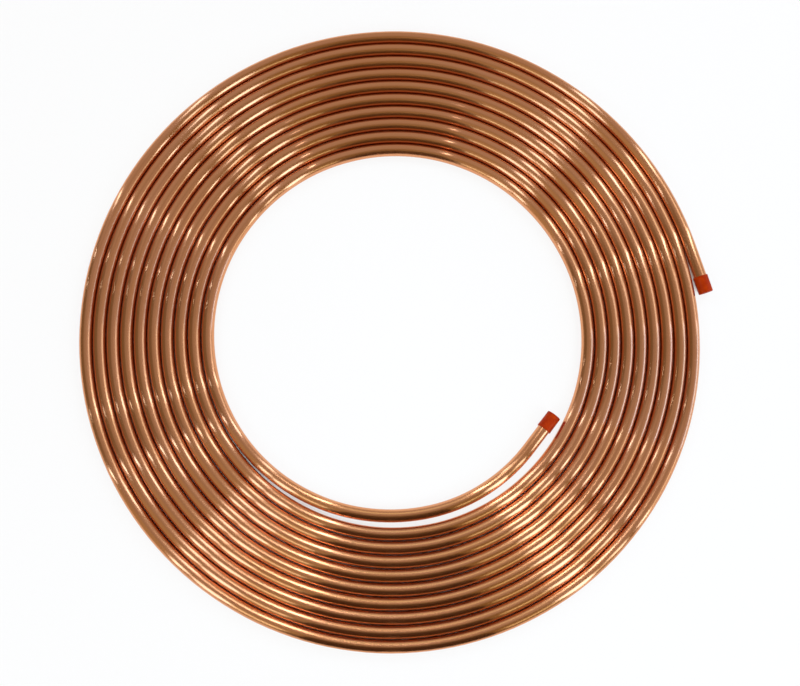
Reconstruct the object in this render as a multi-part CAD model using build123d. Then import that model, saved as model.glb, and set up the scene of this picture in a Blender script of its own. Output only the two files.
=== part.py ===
from build123d import *
import math
import os

# A flat coil of soft copper tube, wound as one spiral in a single layer, with a push-on cap on each end.
# It lies on a level floor. Lengths are in millimetres and angles in degrees, and +Z is up.
# The origin is on the floor, below the middle of the coil's bounding box.
# Seen from above, the tube winds inwards anticlockwise from its outer end, which is on the +X side.

# Tube
tube_od = 12.7
tube_wall = 0.813

# Packed winding: quarter-turn bends, each tighter than the last, so that the turns keep an even gap
turn_gap = 0.53
outer_radius = 306.9
packed_start = 62.5
packed_angle = 3374.5

# Outer end: one bend beside the first turn, then a straight that leaves the coil
outer_bend_angle = 45.0
outer_straight = 50.0

# Inner end: three bends, each tighter than the packed turn beside it, so that the last turn springs inwards
spring_tightening = 8.0
spring_angle = 40.0
loose_tightening = 1.0
loose_angle = 45.0
tail_tightening = 17.0
tail_angle = 40.0
inner_straight = 40.0

# Caps
cap_wall = 1.0
cap_end_wall = 1.5
cap_cover = 16.0
cap_edge_radius = 0.6
cap_rim_radius = 0.25
cap_fit_clearance = 0.02
cap_floor_clearance = 0.1

# Worked out from the sizes above
quarter_turn = 90.0
quarter_step = (tube_od + turn_gap) / 4
cap_bore_radius = tube_od / 2 + cap_fit_clearance
cap_radius = cap_bore_radius + cap_wall
cap_rise = cap_radius - tube_od / 2 + cap_floor_clearance
up = Vector(0, 0, 1)


def bend(point, heading, inward, radius, angle):
    """One arc that leaves point along heading and curves inward, and the point, heading and inward at its end."""
    centre = point + inward * radius
    plane = Plane(origin=centre, x_dir=-inward, z_dir=heading.cross(inward))
    arc = Edge.make_circle(radius, plane, start_angle=0, end_angle=angle)
    turned = math.radians(angle)
    end_heading = heading * math.cos(turned) + inward * math.sin(turned)
    end_inward = inward * math.cos(turned) - heading * math.sin(turned)
    return arc, centre - end_inward * radius, end_heading, end_inward


def chain(point, heading, inward, bends):
    """The arcs of several (radius, angle) bends in a row, and the point, heading and inward at their end."""
    arcs = []
    for radius, angle in bends:
        arc, point, heading, inward = bend(point, heading, inward, radius, angle)
        arcs.append(arc)
    return arcs, point, heading, inward


def packed_bends():
    """The (radius, angle) of each bend of the packed winding, from the outside in."""
    quarters = math.ceil(packed_angle / quarter_turn)
    last_angle = packed_angle - quarter_turn * (quarters - 1)
    angles = [quarter_turn] * (quarters - 1) + [last_angle]
    return [(outer_radius - quarter_step * i, angle) for i, angle in enumerate(angles)]


def free_end(point, heading, inward, bends, straight):
    """The edges of a free end, which rises so that its cap clears the floor, and the plane of the cap's mouth."""
    _, flat_end, flat_heading, _ = chain(point, heading, inward, bends)
    flat_mouth = flat_end + flat_heading * (straight - cap_cover)
    lift = math.asin(cap_rise / (flat_mouth - point).dot(inward))
    tilted = inward * math.cos(lift) + up * math.sin(lift)
    arcs, end, end_heading, _ = chain(point, heading, tilted, bends)
    tip = end + end_heading * straight
    mouth = Plane(origin=tip - end_heading * cap_cover, z_dir=end_heading)
    return arcs + [Edge.make_line(end, tip)], mouth


def make_tube(edges):
    """The whole tube as one hollow solid along the joined edges, with the length of its path."""
    path = Wire(edges)
    start = Plane(origin=path @ 0, z_dir=path % 0)
    section = start * (Circle(tube_od / 2) - Circle(tube_od / 2 - tube_wall))
    tube = sweep(section, path=path)
    print(f"tube: {path.length:.1f} mm long, {tube.volume:.1f} mm3, {section.area * path.length:.1f} from its section")
    return tube


def make_cap(mouth):
    """A push-on cap: a round cup with a rounded closed end and a softened rim."""
    standing = (Align.CENTER, Align.CENTER, Align.MIN)
    cup = Cylinder(cap_radius, cap_cover + cap_end_wall, align=standing)
    cup -= Cylinder(cap_bore_radius, cap_cover, align=standing)
    cup = fillet(cup.edges().filter_by(GeomType.CIRCLE).group_by(Axis.Z)[-1], cap_edge_radius)
    cup = fillet(cup.edges().filter_by(GeomType.CIRCLE).group_by(Axis.Z)[0], cap_rim_radius)
    return mouth * cup


# Packed winding, flat on the floor
start_angle = math.radians(packed_start)
start_inward = Vector(-math.cos(start_angle), -math.sin(start_angle), 0)
start_heading = start_inward.cross(up)
start_point = up * (tube_od / 2) - start_inward * outer_radius
packed = packed_bends()
packed_arcs, end_point, end_heading, end_inward = chain(start_point, start_heading, start_inward, packed)

# Outer end, drawn backwards from the start of the packed winding
outer_bends = [(outer_radius + quarter_step, outer_bend_angle)]
outer_edges, outer_mouth = free_end(start_point, -start_heading, start_inward, outer_bends, outer_straight)

# Inner end, on from the end of the packed winding
last_radius = packed[-1][0]
inner_bends = [
    (last_radius - spring_tightening, spring_angle),
    (last_radius - loose_tightening, loose_angle),
    (last_radius - tail_tightening, tail_angle),
]
inner_edges, inner_mouth = free_end(end_point, end_heading, end_inward, inner_bends, inner_straight)

parts = {
    "coiled_tube": make_tube(outer_edges[::-1] + packed_arcs + inner_edges),
    "outer_end_cap": make_cap(outer_mouth),
    "inner_end_cap": make_cap(inner_mouth),
}

# Move the origin to the floor below the middle of the bounding box
box = Compound(list(parts.values())).bounding_box()
middle = box.center()
to_origin = Location((-middle.X, -middle.Y, 0))
print(f"box: {box.size.X:.2f} x {box.size.Y:.2f} x {box.size.Z:.2f} mm, moved {-middle.X:.3f}, {-middle.Y:.3f}")

os.makedirs("parts", exist_ok=True)
for name, shape in parts.items():
    placed = to_origin * shape
    placed.label = name
    export_step(placed, f"parts/{name}.step")
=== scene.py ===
import math
import random

import bpy
from mathutils import Matrix, Vector


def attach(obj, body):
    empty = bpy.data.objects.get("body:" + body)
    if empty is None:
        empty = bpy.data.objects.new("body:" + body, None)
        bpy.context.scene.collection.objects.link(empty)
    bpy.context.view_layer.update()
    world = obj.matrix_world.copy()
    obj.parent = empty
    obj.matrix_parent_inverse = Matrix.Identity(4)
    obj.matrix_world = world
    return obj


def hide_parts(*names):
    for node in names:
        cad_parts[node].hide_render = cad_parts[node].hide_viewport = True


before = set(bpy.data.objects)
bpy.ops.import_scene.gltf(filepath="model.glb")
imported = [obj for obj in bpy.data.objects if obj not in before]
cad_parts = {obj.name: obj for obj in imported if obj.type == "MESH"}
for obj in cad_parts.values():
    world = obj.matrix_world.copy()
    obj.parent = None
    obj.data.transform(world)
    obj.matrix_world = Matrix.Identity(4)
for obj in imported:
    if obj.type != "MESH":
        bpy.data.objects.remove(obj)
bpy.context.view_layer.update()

# A flat coil of bright soft copper tube with an orange push-on cap on each end, lying on a pale floor.
# Lengths are in metres and angles in degrees. The coil's middle is near the origin and +Z is up.

up = Vector((0, 0, 1))
mm = 0.001

# Tube, the same winding as the CAD model's
tube_diameter = 12.7 * mm
tube_wall = 0.813 * mm
turn_gap = 0.53 * mm
outer_radius = 306.9 * mm
packed_centre = Vector((-1.906, -2.604, 0)) * mm
packed_start = 62.5
packed_angle = 3374.5
quarter_turn = 90.0
outer_bend_angle = 45.0
outer_straight = 50.0 * mm
inner_straight = 40.0 * mm
tube_radius = tube_diameter / 2
bore_radius = tube_radius - tube_wall
quarter_step = (tube_diameter + turn_gap) / 4

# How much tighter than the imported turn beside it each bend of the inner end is, with its angle
inner_tightenings = [(8.0 * mm, 40.0), (1.0 * mm, 45.0), (17.0 * mm, 40.0)]

# Caps
cap_cover = 16.0 * mm
cap_length = 17.5 * mm
cap_radius = 7.37 * mm
cap_bore_radius = 6.37 * mm
cap_floor_clearance = 0.1 * mm
cap_rise = cap_radius - tube_radius + cap_floor_clearance
cap_sharp_angle = 40.0

# Mesh fineness
ring_step = 2.25
straight_step = 8.0 * mm
outer_sides = 40
bore_sides = 16
cap_sides = 64

# Unevenness of a coil wound from soft tube
wander_side = 0.22 * mm
wander_up = 0.22 * mm
wander_fade = 90 * mm

# Studio
lamp_tint = (0.7, 0.97, 1.35)
panel_tint = (0.8, 1.02, 1.15)
near_lamp_tint = (0.87, 0.97, 1.15)
near_lamp_reach = 0.2
near_lamp_height = 0.42
near_lamp_target = 0.25
card_foot = -0.5
card_head = -0.36
card_top = 1.15


# Winding


def bend_frames(point, heading, inward, radius, angle):
    """Places and headings along one arc that curves inward, and the point, heading and inward at its end."""
    centre = point + inward * radius
    count = max(1, math.ceil(angle / ring_step))
    places = []
    for i in range(1, count + 1):
        turned = math.radians(angle * i / count)
        new_heading = heading * math.cos(turned) + inward * math.sin(turned)
        new_inward = inward * math.cos(turned) - heading * math.sin(turned)
        places.append((centre - new_inward * radius, new_heading))
    return places, places[-1][0], new_heading, new_inward


def chain_frames(point, heading, inward, bends):
    """Places and headings along several (radius, angle) bends in a row, and what the last bend ends with."""
    places = []
    for radius, angle in bends:
        some, point, heading, inward = bend_frames(point, heading, inward, radius, angle)
        places += some
    return places, point, heading, inward


def free_end(point, heading, inward, bends, straight):
    """Places and headings of a free end, which rises a little so that its cap clears the floor."""
    _, flat_end, flat_heading, _ = chain_frames(point, heading, inward, bends)
    flat_mouth = flat_end + flat_heading * (straight - cap_cover)
    lift = math.asin(cap_rise / (flat_mouth - point).dot(inward))
    tilted = inward * math.cos(lift) + up * math.sin(lift)
    places, end, end_heading, _ = chain_frames(point, heading, tilted, bends)
    count = math.ceil(straight / straight_step)
    for i in range(1, count + 1):
        places.append((end + end_heading * (straight * i / count), end_heading))
    return places


def tube_route():
    """Places and headings along the middle of the whole tube, from its outer end to its inner end."""
    start = math.radians(packed_start)
    inward = Vector((-math.cos(start), -math.sin(start), 0))
    heading = inward.cross(up)
    point = packed_centre + up * tube_radius - inward * outer_radius
    quarters = math.ceil(packed_angle / quarter_turn)
    angles = [quarter_turn] * (quarters - 1) + [packed_angle - quarter_turn * (quarters - 1)]
    packed = [(outer_radius - quarter_step * i, angle) for i, angle in enumerate(angles)]
    winding, end, end_heading, end_inward = chain_frames(point, heading, inward, packed)
    outer_bends = [(outer_radius + quarter_step, outer_bend_angle)]
    outer = free_end(point, -heading, inward, outer_bends, outer_straight)
    last_radius = packed[-1][0]
    inner_bends = [(last_radius - tightening, angle) for tightening, angle in inner_tightenings]
    inner = free_end(end, end_heading, end_inward, inner_bends, inner_straight)
    backwards = [(place, -direction) for place, direction in reversed(outer)]
    return backwards + [(point, heading)] + winding + inner


def make_waves(seed, longest, shortest, count):
    """Rates, phases and weights of a slow unevenness along the tube, from long waves to short ones."""
    chance = random.Random(seed)
    waves = []
    for i in range(count):
        length = longest * (shortest / longest) ** (i / (count - 1)) * chance.uniform(0.9, 1.1)
        waves.append((2 * math.pi / length, chance.uniform(0, 2 * math.pi), chance.uniform(0.6, 1.0)))
    return waves


def wave_value(waves, distance):
    """The unevenness at a distance along the tube, from 0 to 1."""
    total = sum(weight * math.sin(rate * distance + phase) for rate, phase, weight in waves)
    return 0.5 + 0.5 * total / sum(weight for _, _, weight in waves)


def tube_rings(route):
    """Middle, outward and upward directions and distance of each ring of the tube."""
    distances = [0.0]
    for (here, _), (ahead, _) in zip(route, route[1:]):
        distances.append(distances[-1] + (ahead - here).length)
    side_waves = make_waves(seed=11, longest=0.9, shortest=0.07, count=6)
    up_waves = make_waves(seed=23, longest=0.7, shortest=0.08, count=6)
    whole = distances[-1]
    rings = []
    for (place, heading), distance in zip(route, distances):
        upward = (up - heading * up.dot(heading)).normalized()
        outward = heading.cross(upward)
        fade = min(1.0, distance / wander_fade, (whole - distance) / wander_fade)
        fade = fade * fade * (3 - 2 * fade)
        inwards = wander_side * fade * wave_value(side_waves, distance)
        lifted = wander_up * fade * wave_value(up_waves, distance)
        rings.append((place - outward * inwards + up * lifted, outward, upward, distance))
    return rings


def ring_points(ring, radius, sides):
    """Points round one ring, from its lowest point outwards and over."""
    middle, outward, upward, _ = ring
    points = []
    for i in range(sides):
        turned = 2 * math.pi * i / sides
        points.append(middle + (outward * math.sin(turned) - upward * math.cos(turned)) * radius)
    return points


# Meshes


def make_object(name, points, faces, smooth_faces, face_maps=None):
    """A mesh object, with a map of each face's corners where they are given."""
    mesh = bpy.data.meshes.new(name)
    mesh.from_pydata([tuple(p) for p in points], [], faces)
    mesh.polygons.foreach_set("use_smooth", smooth_faces)
    if face_maps:
        layer = mesh.uv_layers.new(name="along_tube")
        flat = [value for corners in face_maps for corner in corners for value in corner]
        layer.data.foreach_set("uv", flat)
    mesh.update()
    piece = bpy.data.objects.new(name, mesh)
    bpy.context.scene.collection.objects.link(piece)
    return piece


def tube_wall_faces(distances, base, sides, outside):
    """Faces between rings of points at distances along the tube, with the map of each face's corners."""
    faces = []
    face_maps = []
    for row, (near, far) in enumerate(zip(distances, distances[1:])):
        here = base + row * sides
        ahead = here + sides
        for side in range(sides):
            following = (side + 1) % sides
            left = side / sides
            right = (side + 1) / sides
            corners = [here + side, here + following, ahead + following, ahead + side]
            places = [(left, near), (right, near), (right, far), (left, far)]
            if not outside:
                corners.reverse()
                places.reverse()
            faces.append(corners)
            face_maps.append(places)
    return faces, face_maps


def tube_end_faces(outer_ring, bore_ring, facing_back):
    """Triangles between a tube end's outer ring of points and the ring of its bore, which has fewer."""
    outer_count = len(outer_ring)
    bore_count = len(bore_ring)
    triangles = []
    outer_at = 0
    bore_at = 0
    while outer_at < outer_count or bore_at < bore_count:
        a = outer_ring[outer_at % outer_count]
        b = bore_ring[bore_at % bore_count]
        outer_next = (outer_at + 1) / outer_count
        bore_next = (bore_at + 1) / bore_count
        if outer_at < outer_count and (bore_at >= bore_count or outer_next <= bore_next):
            outer_at += 1
            triangles.append([a, b, outer_ring[outer_at % outer_count]])
        else:
            bore_at += 1
            triangles.append([a, b, bore_ring[bore_at % bore_count]])
    if facing_back:
        triangles = [triangle[::-1] for triangle in triangles]
    return triangles


def make_tube(route):
    """The whole tube as one closed hollow mesh, with its map running round it and along it."""
    rings = tube_rings(route)
    distances = [distance for _, _, _, distance in rings]
    points = []
    faces = []
    face_maps = []
    for radius, sides, outside in ((tube_radius, outer_sides, True), (bore_radius, bore_sides, False)):
        wall_faces, wall_maps = tube_wall_faces(distances, len(points), sides, outside)
        faces += wall_faces
        face_maps += wall_maps
        for ring in rings:
            points += ring_points(ring, radius, sides)
    smooth = [True] * len(faces)
    bore_base = len(rings) * outer_sides
    for row, facing_back in ((0, True), (len(rings) - 1, False)):
        outer_ring = [row * outer_sides + i for i in range(outer_sides)]
        bore_ring = [bore_base + row * bore_sides + i for i in range(bore_sides)]
        for corners in tube_end_faces(outer_ring, bore_ring, facing_back):
            faces.append(corners)
            face_maps.append([(0.5, distances[row])] * len(corners))
            smooth.append(False)
    return make_object("coiled_tube_finish", points, faces, smooth, face_maps)


def rounded(middle_radius, middle_height, radius, first, last, steps=6):
    """Points of a profile's rounded corner, from one angle to another."""
    points = []
    for i in range(steps + 1):
        turned = math.radians(first + (last - first) * i / steps)
        points.append((middle_radius + radius * math.cos(turned), middle_height + radius * math.sin(turned)))
    return points


def cap_profile():
    """Half the section of a cap, from the middle of its bore's floor to the middle of its closed end."""
    rim = 0.25 * mm
    collar_length = 2.4 * mm
    body_radius = cap_radius - 0.12 * mm
    end_radius = cap_radius - 0.2 * mm
    edge = 0.7 * mm
    recess_radius = 4.4 * mm
    recess = 0.25 * mm
    gate_radius = 0.9 * mm
    gate_top_radius = gate_radius * 0.8
    gate_height = cap_length - recess * 0.3
    profile = [(0, cap_cover), (cap_bore_radius * 0.5, cap_cover), (cap_bore_radius, cap_cover)]
    profile += rounded(cap_bore_radius + rim, rim, rim, 180, 270)
    profile += rounded(cap_radius - rim, rim, rim, 270, 360)
    profile += rounded(cap_radius - rim / 2, collar_length, rim / 2, 0, 60, 3)
    profile += [(body_radius, collar_length + rim)]
    profile += rounded(end_radius - edge, cap_length - edge, edge, 0, 90)
    profile += [(recess_radius, cap_length), (recess_radius - recess, cap_length - recess)]
    profile += [(gate_radius, cap_length - recess), (gate_top_radius, gate_height), (0, gate_height)]
    return profile


def make_cap(name, tip, heading):
    """A push-on cap, turned from its profile, with its bore's floor against the tube's end."""
    mouth = tip - heading * cap_cover
    across = heading.cross(up).normalized()
    over = heading.cross(across)
    points = []
    rows = []
    for radius, height in cap_profile():
        middle = mouth + heading * height
        if radius == 0:
            rows.append([len(points)] * cap_sides)
            points.append(middle)
            continue
        rows.append(list(range(len(points), len(points) + cap_sides)))
        for i in range(cap_sides):
            turned = 2 * math.pi * i / cap_sides
            points.append(middle + (across * math.cos(turned) + over * math.sin(turned)) * radius)
    faces = []
    for here, ahead in zip(rows, rows[1:]):
        for i in range(cap_sides):
            following = (i + 1) % cap_sides
            corners = [here[i], here[following], ahead[following], ahead[i]]
            # A face at the middle of an end has one corner less
            faces.append([corner for at, corner in enumerate(corners) if corner not in corners[:at]])
    piece = make_object(name, points, faces, [True] * len(faces))
    piece.data.set_sharp_from_angle(angle=math.radians(cap_sharp_angle))
    return piece


# Materials


def new_material(name):
    """A node material with only its shader, and that shader."""
    material = bpy.data.materials.new(name)
    material.use_nodes = True
    return material, material.node_tree.nodes["Principled BSDF"]


def add_node(owner, kind, **settings):
    """A new node of a material or world with its settings."""
    node = owner.node_tree.nodes.new(kind)
    for name, value in settings.items():
        setattr(node, name, value)
    return node


def link(owner, source, target):
    """Links one node's socket to another's."""
    owner.node_tree.links.new(source, target)


def maths(owner, operation, first, second=None):
    """The result of an operation on sockets or numbers."""
    node = add_node(owner, "ShaderNodeMath", operation=operation)
    for socket, value in zip(node.inputs, (first, second)):
        if isinstance(value, bpy.types.NodeSocket):
            link(owner, value, socket)
        elif value is not None:
            socket.default_value = value
    return node.outputs["Value"]


def spread(owner, value, start, end, low=0.0, high=1.0, interpolation="LINEAR"):
    """A value's range from start to end spread from low to high."""
    node = add_node(owner, "ShaderNodeMapRange", interpolation_type=interpolation)
    link(owner, value, node.inputs["Value"])
    for name, number in (("From Min", start), ("From Max", end), ("To Min", low), ("To Max", high)):
        node.inputs[name].default_value = number
    return node.outputs["Result"]


def ease(owner, value, start, end):
    """A value's range from start to end spread from 0 to 1 with soft ends."""
    return spread(owner, value, start, end, interpolation="SMOOTHSTEP")


def mixed(owner, factor, first, second):
    """A blend of two colours, each a socket or three numbers."""
    node = add_node(owner, "ShaderNodeMix", data_type="RGBA")
    link(owner, factor, node.inputs["Factor"])
    for socket, colour in ((node.inputs["A"], first), (node.inputs["B"], second)):
        if isinstance(colour, bpy.types.NodeSocket):
            link(owner, colour, socket)
        else:
            socket.default_value = (*colour, 1)
    return node.outputs["Result"]


def ray_kinds(owner):
    """Whether a ray comes from the camera, and whether it comes off something glossy or through glass."""
    paths = add_node(owner, "ShaderNodeLightPath").outputs
    mirrored = maths(owner, "MAXIMUM", paths["Is Glossy Ray"], paths["Is Transmission Ray"])
    return paths["Is Camera Ray"], mirrored


def noise(material, coordinates, scale, detail):
    """A noise from 0 to 1 over some coordinates."""
    node = add_node(material, "ShaderNodeTexNoise")
    node.inputs["Scale"].default_value = scale
    node.inputs["Detail"].default_value = detail
    link(material, coordinates, node.inputs["Vector"])
    return node.outputs["Fac"]


def ramp(material, factor, start, end):
    """A colour ramp between two (position, colour) stops."""
    node = add_node(material, "ShaderNodeValToRGB")
    for element, (position, colour) in zip(node.color_ramp.elements, (start, end)):
        element.position = position
        element.color = (*colour, 1)
    link(material, factor, node.inputs["Fac"])
    return node.outputs["Color"]


def add_bump(material, shader, height, strength, distance):
    """A fine relief on the material, as high as a socket says."""
    bump = add_node(material, "ShaderNodeBump")
    bump.inputs["Strength"].default_value = strength
    bump.inputs["Distance"].default_value = distance
    link(material, height, bump.inputs["Height"])
    link(material, bump.outputs["Normal"], shader.inputs["Normal"])


def tube_coordinates(material, around, along):
    """Coordinates that run round the tube without a seam and along it, each with its own scale."""
    uv_map = add_node(material, "ShaderNodeUVMap", uv_map="along_tube")
    split = add_node(material, "ShaderNodeSeparateXYZ")
    join = add_node(material, "ShaderNodeCombineXYZ")
    link(material, uv_map.outputs["UV"], split.inputs["Vector"])
    turned = maths(material, "MULTIPLY", split.outputs["X"], 2 * math.pi)
    link(material, maths(material, "MULTIPLY", maths(material, "COSINE", turned), around), join.inputs["X"])
    link(material, maths(material, "MULTIPLY", maths(material, "SINE", turned), around), join.inputs["Y"])
    link(material, maths(material, "MULTIPLY", split.outputs["Y"], along), join.inputs["Z"])
    return join.outputs["Vector"]


def copper_material():
    """Bright drawn copper: lines from the drawing run along it, so that it is glossier along than across."""
    material, shader = new_material("drawn_copper")
    shader.inputs["Metallic"].default_value = 1.0
    shader.inputs["Anisotropic"].default_value = 1.0
    tangent = add_node(material, "ShaderNodeTangent", direction_type="UV_MAP", uv_map="along_tube")
    link(material, tangent.outputs["Tangent"], shader.inputs["Tangent"])
    draw_lines = noise(material, tube_coordinates(material, around=9.0, along=6.0), scale=4.0, detail=4.0)
    patches = noise(material, tube_coordinates(material, around=0.6, along=9.0), scale=1.0, detail=3.0)
    tints = ramp(material, patches, (0.3, (0.77, 0.34, 0.15)), (0.7, (0.79, 0.36, 0.18)))
    link(material, tints, shader.inputs["Base Color"])
    link(material, spread(material, draw_lines, 0.3, 0.7, 0.154, 0.168), shader.inputs["Roughness"])
    add_bump(material, shader, draw_lines, strength=1.0, distance=0.0005 * mm)
    return material


def cap_material():
    """Orange moulded plastic with a faint satin grain."""
    material, shader = new_material("orange_plastic")
    place = add_node(material, "ShaderNodeTexCoord").outputs["Object"]
    cloudy = noise(material, place, scale=180.0, detail=3.0)
    grain = noise(material, place, scale=2600.0, detail=2.0)
    tints = ramp(material, cloudy, (0.35, (0.38, 0.026, 0.001)), (0.65, (0.46, 0.038, 0.001)))
    link(material, tints, shader.inputs["Base Color"])
    link(material, spread(material, grain, 0.3, 0.7, 0.34, 0.44), shader.inputs["Roughness"])
    shader.inputs["Specular IOR Level"].default_value = 0.07
    add_bump(material, shader, grain, strength=0.15, distance=0.05 * mm)
    return material


def floor_material():
    """A plain white studio floor, partly white by itself where it lies open, so not in the narrow gaps."""
    material, shader = new_material("white_floor")
    shader.inputs["Base Color"].default_value = (0.93, 0.93, 0.93, 1)
    shader.inputs["Roughness"].default_value = 0.9
    shader.inputs["Specular IOR Level"].default_value = 0.0
    white_share = 0.86
    gap_openness = 0.13
    ground_openness = 0.2
    openness = add_node(material, "ShaderNodeAmbientOcclusion", samples=16)
    openness.inputs["Distance"].default_value = 12 * mm
    open_floor = spread(material, openness.outputs["AO"], gap_openness, ground_openness)
    from_camera, mirrored = ray_kinds(material)
    seen = maths(material, "MAXIMUM", from_camera, mirrored)
    white = add_node(material, "ShaderNodeEmission")
    white.inputs["Strength"].default_value = 1.0
    blend = add_node(material, "ShaderNodeMixShader")
    shown = maths(material, "MULTIPLY", seen, open_floor)
    link(material, maths(material, "MULTIPLY", shown, white_share), blend.inputs["Fac"])
    link(material, shader.outputs["BSDF"], blend.inputs[1])
    link(material, white.outputs["Emission"], blend.inputs[2])
    output = material.node_tree.nodes["Material Output"]
    link(material, blend.outputs["Shader"], output.inputs["Surface"])
    return material


# Studio pieces


def make_floor():
    """A large flat floor at the coil's underside."""
    reach = 9.0
    corners = [(-reach, -reach, 0), (reach, -reach, 0), (reach, reach, 0), (-reach, reach, 0)]
    floor = make_object("studio_floor", corners, [[0, 1, 2, 3]], [False])
    floor.data.materials.append(floor_material())


def add_lamp(name, place, facing, width, tall, radiance, colour, shape="RECTANGLE", beam=180.0):
    """A flat lamp with its height upright, which the camera doesn't see."""
    data = bpy.data.lights.new(name, "AREA")
    data.shape = shape
    data.size = width
    data.size_y = tall
    area = width * tall * (math.pi / 4 if shape == "ELLIPSE" else 1)
    data.energy = radiance * math.pi * area
    data.color = colour
    data.spread = math.radians(beam)
    holder = bpy.data.objects.new(name, data)
    holder.location = place
    holder.rotation_euler = (place - facing).to_track_quat("Z", "Y").to_euler()
    holder.visible_camera = False
    bpy.context.scene.collection.objects.link(holder)
    return holder


def width_at(reach, angle):
    """The width of what covers an angle as seen from a distance."""
    return 2 * reach * math.tan(math.radians(angle / 2))


def lamp(name, azimuth, reach, height, width, tall, radiance, colour=lamp_tint, shape="RECTANGLE"):
    """A lamp out at an azimuth, anticlockwise from +X. Its width is an angle seen from the coil's middle."""
    a = math.radians(azimuth)
    place = Vector((math.cos(a) * reach, math.sin(a) * reach, height))
    return add_lamp(name, place, Vector((0, 0, 0)), width_at(reach, width), tall, radiance, colour, shape)


def strip(name, azimuth, reach, height, width, radiance, tall=0.85):
    """A tall narrow lamp, which fades towards its two ends."""
    lamp(name, azimuth, reach, height, width, tall, radiance, shape="ELLIPSE")


def near_lamp(name, azimuth, width, tall, radiance, beam, colour=near_lamp_tint):
    """A lamp close above the coil that shines only on the turns across from its azimuth."""
    a = math.radians(azimuth)
    outwards = Vector((math.cos(a), math.sin(a), 0))
    place = outwards * near_lamp_reach + up * near_lamp_height
    facing = outwards * -near_lamp_target
    add_lamp(name, place, facing, width_at(near_lamp_reach, width), tall, radiance, colour, beam=beam)


def make_softboxes():
    """Softboxes on the diagonals, which light the floor and the caps and don't show in the copper."""
    for name, azimuth in (("back_right", 50), ("back_left", 131), ("front_left", 221), ("front_right", 320)):
        box = lamp(f"box_{name}", azimuth, reach=1.1, height=1.1, width=7.5, tall=0.8, radiance=8.4,
                   colour=(1.0, 1.0, 1.0))
        box.visible_glossy = False


def make_strips():
    """Narrow lamps round the coil, which give its sharp highlights."""
    strip("shine_back_right", azimuth=55, reach=1.1, height=0.9, width=5.0, radiance=3.0)
    strip("shine_back_left", azimuth=125, reach=1.1, height=0.9, width=4.0, radiance=3.0)
    strip("shine_front_left", azimuth=223, reach=1.1, height=0.9, width=5.0, radiance=3.0)
    strip("shine_front_right", azimuth=322, reach=1.1, height=0.9, width=5.0, radiance=2.0)
    strip("strip_right_low", azimuth=24.8, reach=1.05, height=0.72, width=2.0, radiance=5.0)
    strip("strip_right_high", azimuth=41.0, reach=1.1, height=0.93, width=4.5, radiance=3.8)
    strip("strip_back_left", azimuth=147.0, reach=2.2, height=1.22, width=1.8, radiance=5.0, tall=1.4)
    strip("strip_left_back", azimuth=158.0, reach=2.1, height=1.2, width=0.8, radiance=14.5, tall=0.25)
    strip("spot_left", azimuth=163.8, reach=2.1, height=1.2, width=0.6, radiance=12.0, tall=0.15)
    strip("strip_left_middle", azimuth=188.9, reach=1.5, height=0.85, width=0.8, radiance=6.0, tall=0.4)
    strip("strip_left_front", azimuth=201.6, reach=1.0, height=0.57, width=1.6, radiance=5.0, tall=0.6)
    strip("strip_front_left", azimuth=231.4, reach=1.0, height=0.73, width=9.0, radiance=2.5)
    strip("strip_front_right", azimuth=310.4, reach=1.0, height=0.67, width=8.0, radiance=3.1, tall=1.1)
    strip("glint_front_right", azimuth=329.0, reach=1.5, height=0.76, width=4.0, radiance=3.8, tall=0.7)


def make_panels():
    """Wide panels that give the broad soft lights beside the highlights."""
    lamp("panel_right_low", azimuth=14, reach=2.0, height=1.2, width=12, tall=0.9, radiance=1.2,
         colour=(0.74, 0.97, 1.26))
    lamp("panel_right_high", azimuth=30, reach=1.15, height=0.96, width=20, tall=0.5, radiance=1.3,
         colour=panel_tint)
    lamp("panel_front", azimuth=317, reach=1.1, height=0.8, width=14, tall=0.4, radiance=1.1,
         colour=(0.8, 1.02, 0.95))
    lamp("panel_front_right", azimuth=336.5, reach=1.5, height=0.62, width=14, tall=0.5, radiance=1.2,
         colour=panel_tint)
    lamp("window_right", azimuth=355.5, reach=1.2, height=0.35, width=25, tall=0.33, radiance=2.0,
         colour=(0.52, 0.97, 1.95))
    lamp("edge_front_left", azimuth=241.5, reach=1.0, height=0.75, width=13, tall=0.3, radiance=1.7,
         colour=(0.74, 0.97, 0.98))
    lamp("edge_front_right", azimuth=301, reach=1.1, height=0.8, width=14, tall=0.3, radiance=1.3,
         colour=(0.76, 0.97, 0.8))


def make_near_lamps():
    """Lamps close above the back of the coil that light its front turns."""
    near_lamp("panel_back", azimuth=90, width=66, tall=0.2, radiance=0.12, beam=80.0,
              colour=(0.71, 0.97, 0.83))
    near_lamp("strip_back_right", azimuth=75.3, width=3.5, tall=0.5, radiance=0.66, beam=44.0)
    near_lamp("strip_back_left", azimuth=113.9, width=3.5, tall=0.5, radiance=0.74, beam=44.0)


def reflection_card_material(name):
    """Colour of a painted dark reflection: brown, paler towards the top."""
    material, shader = new_material(name)
    place = add_node(material, "ShaderNodeNewGeometry").outputs["Position"]
    split = add_node(material, "ShaderNodeSeparateXYZ")
    link(material, place, split.inputs["Vector"])
    height = spread(material, split.outputs["Z"], 0.2, card_top)
    # Painted dark reflection, darker low down and paler higher up
    tints = ramp(material, height, (0.0, (0.075, 0.042, 0.022)), (1.0, (0.22, 0.16, 0.085)))
    link(material, tints, shader.inputs["Base Color"])
    shader.inputs["Specular IOR Level"].default_value = 0.0
    return material


def make_card(name, first_edge, last_edge):
    """A painted dark reflection: a brown card between two edges, seen only mirrored in the coil, no shadow.
    """
    card = make_object(name, [*first_edge, *reversed(last_edge)], [[0, 1, 2, 3]], [False])
    card.data.materials.append(reflection_card_material(name))
    card.visible_camera = False
    card.visible_diffuse = False
    card.visible_shadow = False


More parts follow.
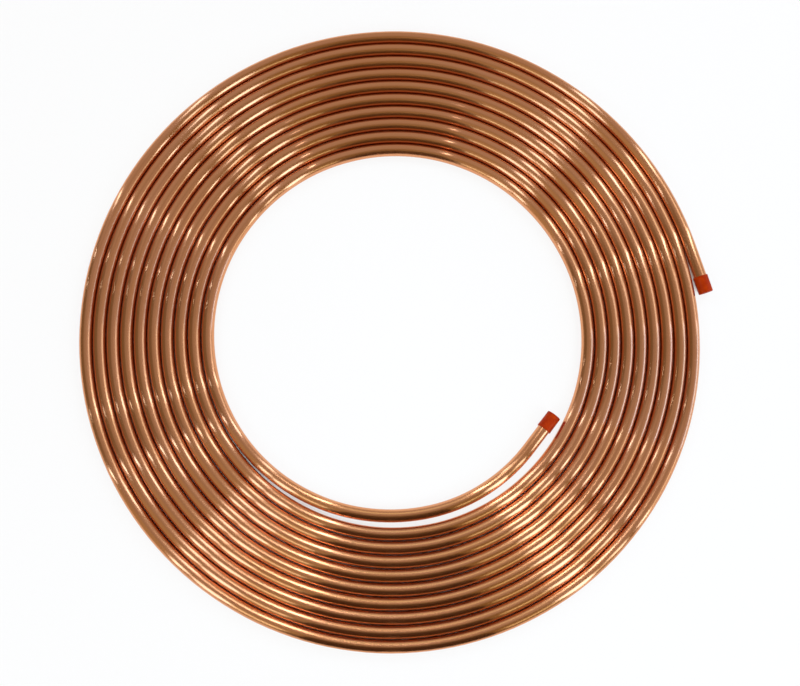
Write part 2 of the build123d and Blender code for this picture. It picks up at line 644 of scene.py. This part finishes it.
def make_cards():
    """Two cards in front with a low slit between, and one above them: painted dark reflections in the coil.
    """
    make_card(
        "dark_card_left",
        [(-0.165, card_foot, 0), (-0.11, card_head, card_top)],
        [(-0.026, card_foot, 0), (0.15, card_head, card_top)],
    )
    make_card(
        "dark_card_right",
        [(0.175, card_foot, 0), (0.13, card_head, card_top)],
        [(0.016, card_foot, 0), (-0.13, card_head - 2 * mm, card_top)],
    )
    make_card(
        "dark_card_over",
        [(-0.11, card_head, card_top), (-0.08, card_head + 60 * mm, card_top)],
        [(0.28, card_head, card_top), (0.24, card_head + 60 * mm, card_top)],
    )


def towards(world, direction, azimuth):
    """How squarely a direction, seen from above, points towards an azimuth, from -1 to 1."""
    a = math.radians(azimuth)
    x = direction["X"]
    y = direction["Y"]
    squares = maths(world, "ADD", maths(world, "POWER", x, 2), maths(world, "POWER", y, 2))
    x_part = maths(world, "MULTIPLY", x, math.cos(a))
    y_part = maths(world, "MULTIPLY", y, math.sin(a))
    return maths(world, "DIVIDE", maths(world, "ADD", x_part, y_part), maths(world, "SQRT", squares))


def room_colour(world, direction):
    """A grey room, golden at its front left and above its front, brown on two sides and dark in front."""
    height = direction["Z"]
    front_left = ease(world, towards(world, direction, 240), 0.72, 0.85)
    frontwards = ease(world, direction["Y"], -0.02, -0.16)
    overhead = ease(world, height, 0.93, 1.0)
    left = ease(world, towards(world, direction, 176), 0.86, 0.97)
    left = maths(world, "MULTIPLY", left, ease(world, height, 1.02, 0.82))
    front_right = ease(world, towards(world, direction, 305), 0.80, 0.95)
    front = ease(world, towards(world, direction, 270), 0.90, 0.95)
    front = maths(world, "MULTIPLY", front, ease(world, height, 0.9, 0.6))
    room = mixed(world, front_left, (0.479, 0.441, 0.425), (0.461, 0.407, 0.276))
    above = mixed(world, frontwards, (0.392, 0.359, 0.322), (0.348, 0.301, 0.138))
    room = mixed(world, overhead, room, above)
    room = mixed(world, left, room, (0.217, 0.179, 0.115))
    room = mixed(world, front_right, room, (0.287, 0.223, 0.103))
    return mixed(world, front, room, (0.131, 0.107, 0.081))


def room_world():
    """The room that lights the coil and mirrors in it, with a pale background in its place for the camera.

    The copper sees the pale background too where it stands low behind the floor.
    """
    world = bpy.data.worlds.new("studio_room")
    world.use_nodes = True
    background = world.node_tree.nodes["Background"]
    place = add_node(world, "ShaderNodeTexCoord")
    split = add_node(world, "ShaderNodeSeparateXYZ")
    link(world, place.outputs["Generated"], split.inputs["Vector"])
    direction = split.outputs
    from_camera, mirrored = ray_kinds(world)
    mirrored_low = maths(world, "MULTIPLY", mirrored, ease(world, direction["Z"], 0.09, 0.02))
    seen = maths(world, "MAXIMUM", from_camera, mirrored_low)
    shown = mixed(world, seen, room_colour(world, direction), (0.95, 0.95, 0.95))
    link(world, shown, background.inputs["Color"])
    return world


def make_studio():
    """The lamps, the room, the floor and the cards."""
    make_softboxes()
    make_strips()
    make_panels()
    make_near_lamps()
    bpy.context.scene.world = room_world()
    make_floor()
    make_cards()


def make_camera():
    """A camera high above the coil, leaning a little, with the photograph's frame."""
    coil_centre = Vector((-4.137, -3.307, 6.35)) * mm
    focal_pixels = 982.57
    image_width = 800
    lean_back = 0.11732
    lean_side = 0.02694
    distance = 974.3 * mm
    aim_right = -4.628 * mm
    aim_up = 8.592 * mm
    data = bpy.data.cameras.new("photo_camera")
    data.sensor_width = 36.0
    data.lens = focal_pixels * data.sensor_width / image_width
    data.clip_start = 0.01
    right = Vector((
        math.cos(lean_side),
        -math.sin(lean_back) * math.sin(lean_side),
        math.cos(lean_back) * math.sin(lean_side),
    ))
    upright = Vector((0, math.cos(lean_back), math.sin(lean_back)))
    back = right.cross(upright)
    camera = bpy.data.objects.new("photo_camera", data)
    place = coil_centre + back * distance - right * aim_right - upright * aim_up
    turn = Matrix((right, upright, back)).transposed().to_4x4()
    camera.matrix_world = Matrix.Translation(place) @ turn
    bpy.context.scene.collection.objects.link(camera)
    bpy.context.scene.camera = camera


make_camera()
make_studio()
bpy.context.scene.view_settings.view_transform = "Standard"

# Tube and caps
route = tube_route()
outer_tip, outer_heading = route[0]
inner_tip, inner_heading = route[-1]
tube = make_tube(route)
tube.data.materials.append(copper_material())
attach(tube, "root")
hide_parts("coiled_tube")
plastic = cap_material()
ends = (("outer_end_cap", outer_tip, -outer_heading), ("inner_end_cap", inner_tip, inner_heading))
for node, tip, heading in ends:
    cap = make_cap(f"{node}_finish", tip, heading)
    cap.data.materials.append(plastic)
    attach(cap, "root")
    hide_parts(node)
